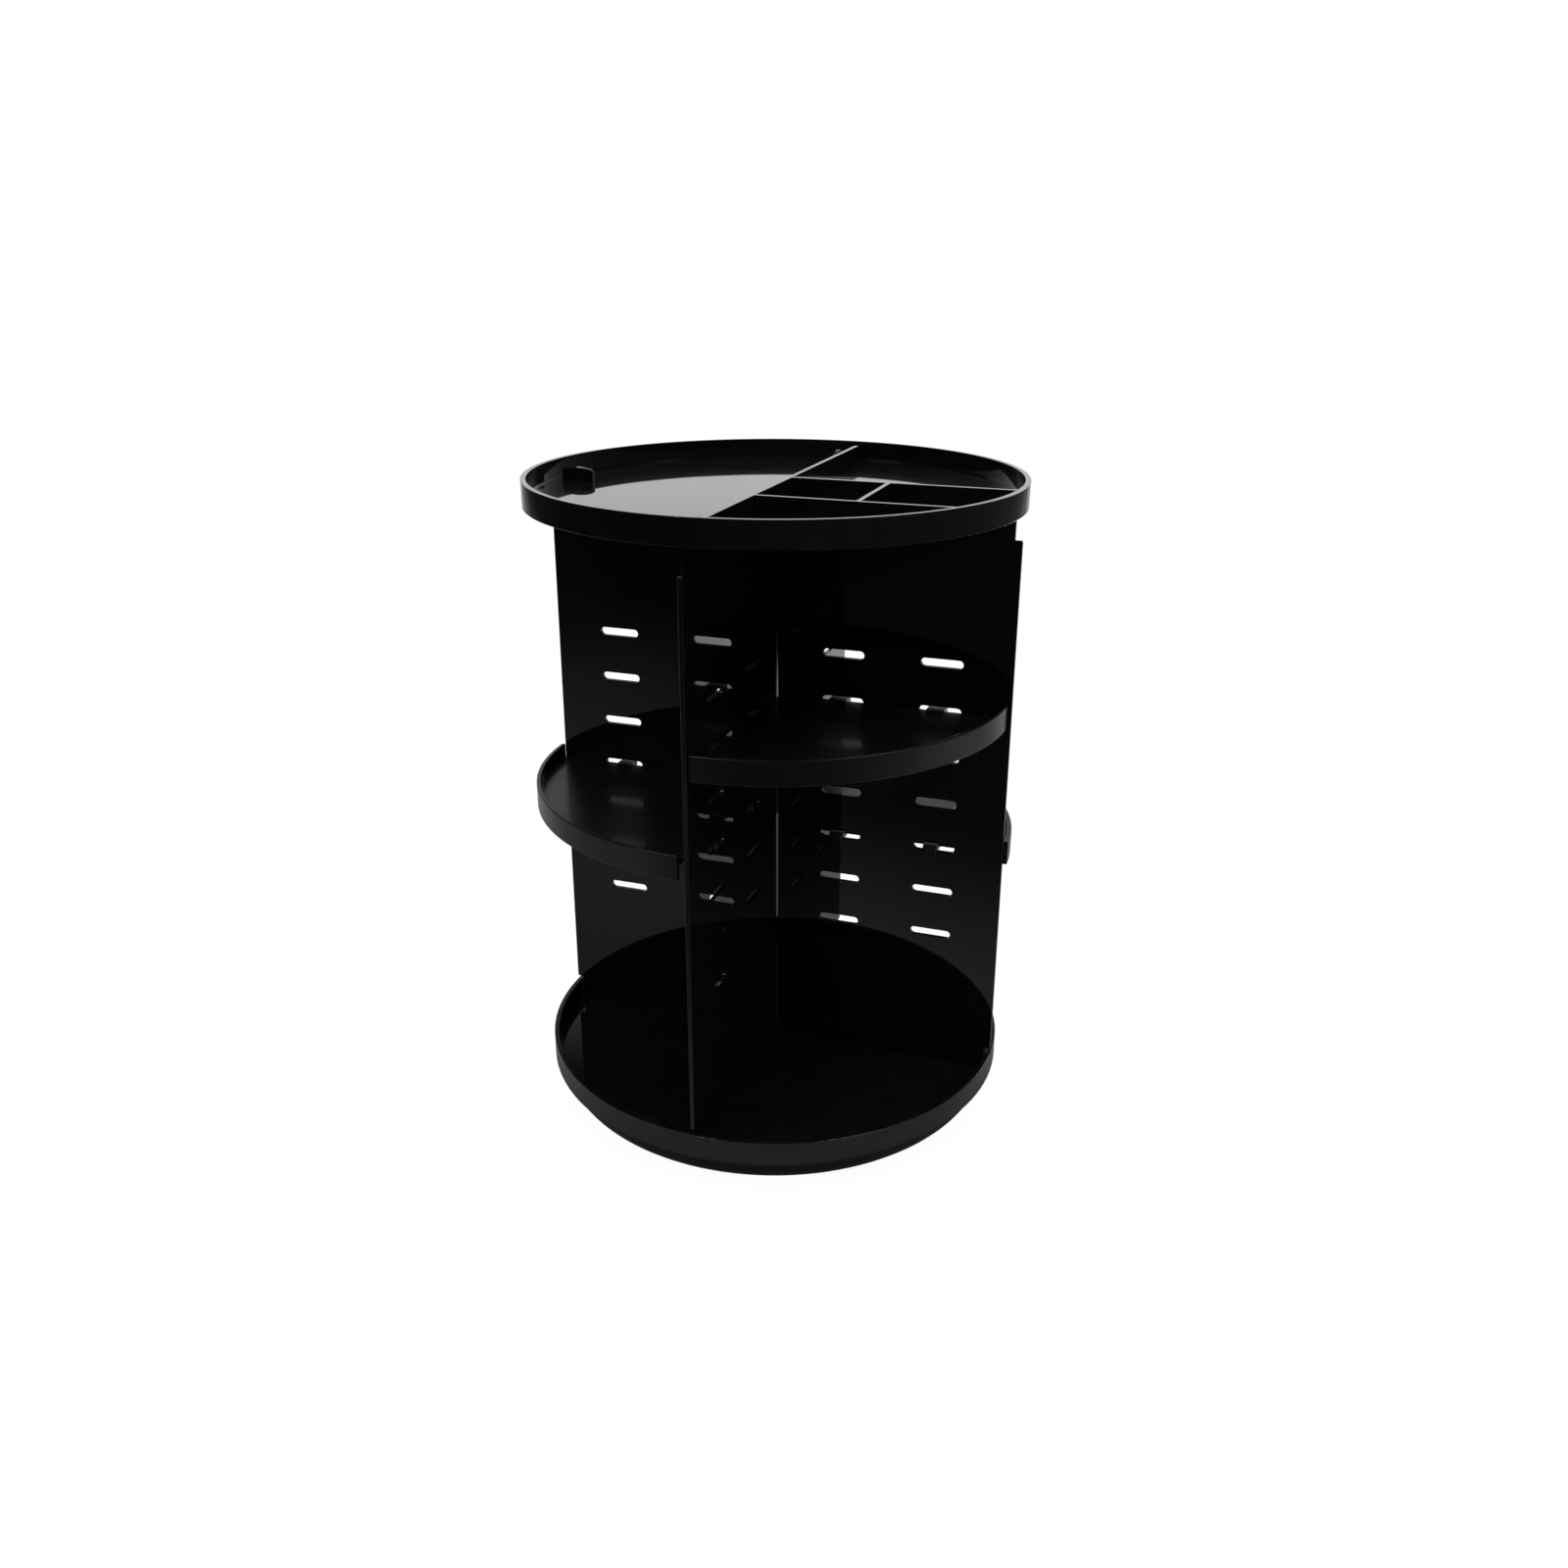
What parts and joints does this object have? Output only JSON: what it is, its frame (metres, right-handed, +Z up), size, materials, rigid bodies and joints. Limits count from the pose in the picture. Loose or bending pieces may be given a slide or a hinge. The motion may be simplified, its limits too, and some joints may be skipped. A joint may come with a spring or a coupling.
{
  "type": "rotating countertop organizer",
  "caption": "Round black plastic carousel on a turntable: slotted cross panels carry quarter-round hook-in shelves between a divided top tray and a bottom tray.",
  "frame": {"origin": "on the table plane under the spin axis, which is the centre of the round base", "axes": "+Z up along the spin axis; the right panel lies along +X and the front panel along -Y"},
  "size_m": [0.2332, 0.23, 0.31],
  "materials": {
    "gloss_black": "injection-moulded black plastic, high gloss",
    "base_black": "injection-moulded black plastic, gloss",
    "pad_rubber": "soft dark grey rubber",
    "cage_plastic": "natural off-white bearing plastic",
    "bearing_steel": "bright steel"
  },
  "bodies": {
    "base": {"base_shell": "base_black", "base_pads": "pad_rubber"},
    "bearing": {"ball_cage": "cage_plastic", "bearing_balls": "bearing_steel"},
    "carousel": {"pivot_screw": "bearing_steel", "pivot_washer": "bearing_steel", "bottom_tray": "gloss_black", "panel_right": "gloss_black", "panel_left": "gloss_black", "panel_front": "gloss_black", "panel_back": "gloss_black", "top_tray": "gloss_black"},
    "front_right_shelf": {"shelf_front_right": "gloss_black"},
    "front_left_shelf": {"shelf_front_left": "gloss_black"},
    "back_right_shelf": {"shelf_back_right": "gloss_black"}
  },
  "joints": [
    {"name": "carousel_spin", "type": "hinge", "parent": "base", "child": "carousel", "pos_m": [0, 0, 0.011], "axis": [0, 0, 1], "continuous": true},
    {"name": "bearing_spin", "type": "hinge", "parent": "base", "child": "bearing", "pos_m": [0, 0, 0.011], "axis": [0, 0, 1], "continuous": true},
    {"name": "front_right_shelf_out", "type": "slide", "parent": "carousel", "child": "front_right_shelf", "axis": [0.7071, -0.7071, 0], "range_m": [0, 0.13]},
    {"name": "front_left_shelf_out", "type": "slide", "parent": "carousel", "child": "front_left_shelf", "axis": [-0.4472, -0.8944, 0], "range_m": [0, 0.13]},
    {"name": "back_right_shelf_out", "type": "slide", "parent": "carousel", "child": "back_right_shelf", "axis": [0.4472, 0.8944, 0], "range_m": [0, 0.13]}
  ],
  "couplings": [
    {"joint": "bearing_spin", "follows": "carousel_spin", "ratio": 0.5}
  ]
}
